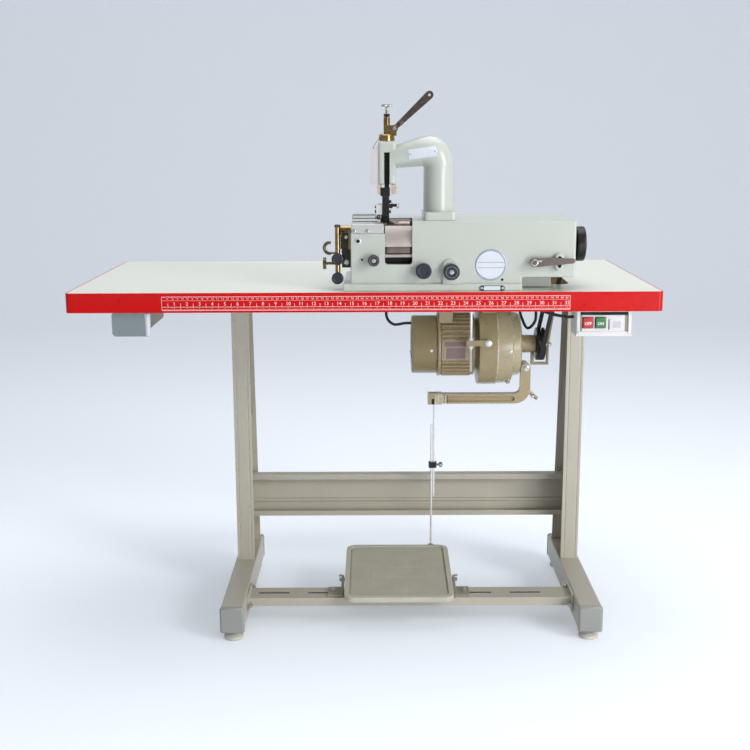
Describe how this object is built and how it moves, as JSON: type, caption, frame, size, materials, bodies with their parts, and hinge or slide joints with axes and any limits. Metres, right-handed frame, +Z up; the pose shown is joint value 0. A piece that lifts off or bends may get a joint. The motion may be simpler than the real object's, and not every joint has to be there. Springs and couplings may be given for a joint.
{
  "type": "leather skiving machine",
  "caption": "Bell-knife leather skiving machine on a table with stand, clutch motor, treadle, switch box and drawer.",
  "frame": {"origin": "on the floor, under the middle of the tabletop", "axes": "+Z up, +X along the table to the operator's right, -Y towards the operator"},
  "size_m": [1.2, 0.6, 1.1547],
  "materials": {
    "laminate": "satin white laminate on board",
    "edging": "red plastic edging",
    "stand": "satin beige paint",
    "enamel": "grey-green white enamel on cast iron",
    "motor_paint": "khaki hammered paint",
    "treadle": "beige paint on cast iron",
    "steel": "bright turned steel",
    "iron": "black finished cast iron",
    "brass": "lacquered brass",
    "black": "black plastic knobs",
    "blackened": "blackened steel",
    "rubber": "black rubber",
    "mat": "grey ribbed rubber",
    "pad": "pale rubber",
    "drawer": "grey moulded plastic",
    "switch": "off-white moulded plastic",
    "red": "red moulded plastic",
    "green": "green moulded plastic",
    "zinc": "zinc-plated sheet",
    "stone": "bonded grit"
  },
  "bodies": {
    "machine": {"tabletop": "laminate", "edge_band": "edging", "left_foot": "stand", "right_foot": "stand", "left_front_pad": "pad", "left_back_pad": "pad", "right_front_pad": "pad", "right_back_pad": "pad", "left_column": "stand", "right_column": "stand", "left_brace": "stand", "right_brace": "stand", "rear_stretcher": "stand", "pedal_crossbar": "stand", "pedal_axle": "steel", "left_pedal_bracket": "iron", "right_pedal_bracket": "iron", "motor_bracket": "motor_paint", "motor_frame": "motor_paint", "motor_end_cover": "motor_paint", "clutch_housing": "motor_paint", "belt_guard": "motor_paint", "tension_rod": "steel", "drive_belt": "rubber", "motor_cable": "rubber", "switch_box": "switch", "drawer_runner": "zinc", "head_base": "enamel", "head_body": "enamel", "arm": "enamel", "presser_cap": "brass", "throat_plate": "steel", "knife_guard": "steel", "lever_rest": "enamel", "side_bracket": "iron", "roller_yoke": "brass"},
    "treadle": {"pedal": "treadle", "pedal_mat": "mat"},
    "clutch_lever_body": {"clutch_lever": "motor_paint"},
    "pull_rod": {"pull_rod_upper": "steel", "pull_rod_lower": "steel"},
    "motor_pulley_body": {"motor_pulley": "iron"},
    "off_button_body": {"off_button": "red"},
    "on_button_body": {"on_button": "green"},
    "drawer_body": {"drawer": "drawer"},
    "rotor": {"main_shaft": "steel", "bell_knife": "steel", "handwheel": "iron"},
    "feed_roller_body": {"feed_roller": "steel"},
    "stone_body": {"sharpening_stone": "stone"},
    "presser": {"presser_bar": "blackened", "presser_foot": "steel"},
    "lift_lever_body": {"lift_lever": "steel"},
    "pressure_screw_body": {"pressure_screw": "steel"},
    "stone_knob_body": {"stone_knob": "black"},
    "knife_feed_knob_body": {"knife_feed_knob": "black"},
    "roller_lift_knob_body": {"roller_lift_knob": "black"},
    "stone_lever_body": {"stone_lever": "steel"},
    "roller_tilt_knob_body": {"roller_tilt_knob": "black"},
    "edge_guide_knob_body": {"edge_guide_knob": "black"}
  },
  "joints": [
    {"name": "treadle_rock", "type": "hinge", "parent": "machine", "child": "treadle", "pos_m": [0.072, -0.108, 0.0745], "axis": [1, 0, 0], "range_deg": [-8, 0], "stiffness_Nm_per_rad": 30, "springref_deg": 5.73},
    {"name": "clutch_lever_swing", "type": "hinge", "parent": "machine", "child": "clutch_lever_body", "pos_m": [0.3724, 0.052, 0.534], "axis": [0, 1, 0], "range_deg": [-6.5, 0]},
    {"name": "pull_rod_swing", "type": "hinge", "parent": "clutch_lever_body", "child": "pull_rod", "pos_m": [0.1594, 0.052, 0.462], "axis": [0, 1, 0], "range_deg": [0, 7.5]},
    {"name": "motor_shaft_turn", "type": "hinge", "parent": "machine", "child": "motor_pulley_body", "pos_m": [0.408, 0.08, 0.586], "axis": [1, 0, 0], "continuous": true},
    {"name": "off_press", "type": "slide", "parent": "machine", "child": "off_button_body", "axis": [0, 1, 0], "range_m": [0, 0.004], "stiffness_N_per_m": 900, "springref_m": -0.002},
    {"name": "on_press", "type": "slide", "parent": "machine", "child": "on_button_body", "axis": [0, 1, 0], "range_m": [0, 0.004], "stiffness_N_per_m": 900, "springref_m": -0.002},
    {"name": "drawer_slide", "type": "slide", "parent": "machine", "child": "drawer_body", "axis": [0, -1, 0], "range_m": [0, 0.2]},
    {"name": "main_shaft_turn", "type": "hinge", "parent": "machine", "child": "rotor", "pos_m": [0.046, -0.215, 0.848], "axis": [1, 0, 0], "continuous": true},
    {"name": "feed_roller_turn", "type": "hinge", "parent": "machine", "child": "feed_roller_body", "pos_m": [0.042, -0.215, 0.8765], "axis": [1, 0, 0], "continuous": true},
    {"name": "stone_turn", "type": "hinge", "parent": "machine", "child": "stone_body", "pos_m": [0.039, -0.197, 0.811], "axis": [1, 0, 0], "continuous": true},
    {"name": "presser_lift", "type": "slide", "parent": "machine", "child": "presser", "axis": [0, 0, 1], "range_m": [0, 0.006]},
    {"name": "lift_lever_turn", "type": "hinge", "parent": "machine", "child": "lift_lever_body", "pos_m": [0.062, -0.215, 1.0808], "axis": [0, 1, 0], "range_deg": [0, 35]},
    {"name": "pressure_screw_turn", "type": "hinge", "parent": "machine", "child": "pressure_screw_body", "pos_m": [0.0465, -0.215, 1.1], "axis": [0, 0, 1], "range_deg": [-360, 360]},
    {"name": "stone_knob_turn", "type": "hinge", "parent": "machine", "child": "stone_knob_body", "pos_m": [0.0194, -0.277, 0.8231], "axis": [0, 1, 0], "range_deg": [-360, 360]},
    {"name": "knife_feed_knob_turn", "type": "hinge", "parent": "machine", "child": "knife_feed_knob_body", "pos_m": [0.119, -0.277, 0.8018], "axis": [0, 1, 0], "range_deg": [-360, 360]},
    {"name": "roller_lift_knob_turn", "type": "hinge", "parent": "machine", "child": "roller_lift_knob_body", "pos_m": [0.1748, -0.277, 0.7998], "axis": [0, 1, 0], "range_deg": [-360, 360]},
    {"name": "stone_lever_turn", "type": "hinge", "parent": "machine", "child": "stone_lever_body", "pos_m": [0.34, -0.277, 0.818], "axis": [0, 1, 0], "range_deg": [-60, 20]},
    {"name": "roller_tilt_knob_turn", "type": "hinge", "parent": "machine", "child": "roller_tilt_knob_body", "pos_m": [-0.0538, -0.246, 0.823], "axis": [0, 1, 0], "range_deg": [-360, 360]},
    {"name": "edge_guide_knob_turn", "type": "hinge", "parent": "machine", "child": "edge_guide_knob_body", "pos_m": [-0.0538, -0.246, 0.7845], "axis": [0, 1, 0], "range_deg": [-360, 360]}
  ],
  "couplings": [
    {"joint": "clutch_lever_swing", "follows": "treadle_rock", "ratio": 0.751},
    {"joint": "pull_rod_swing", "follows": "treadle_rock", "ratio": -0.915},
    {"joint": "motor_shaft_turn", "follows": "main_shaft_turn", "ratio": 0.935},
    {"joint": "feed_roller_turn", "follows": "main_shaft_turn", "ratio": -0.05},
    {"joint": "stone_turn", "follows": "main_shaft_turn", "ratio": 2},
    {"joint": "presser_lift", "follows": "lift_lever_turn", "m_per_rad": 0.0098}
  ]
}
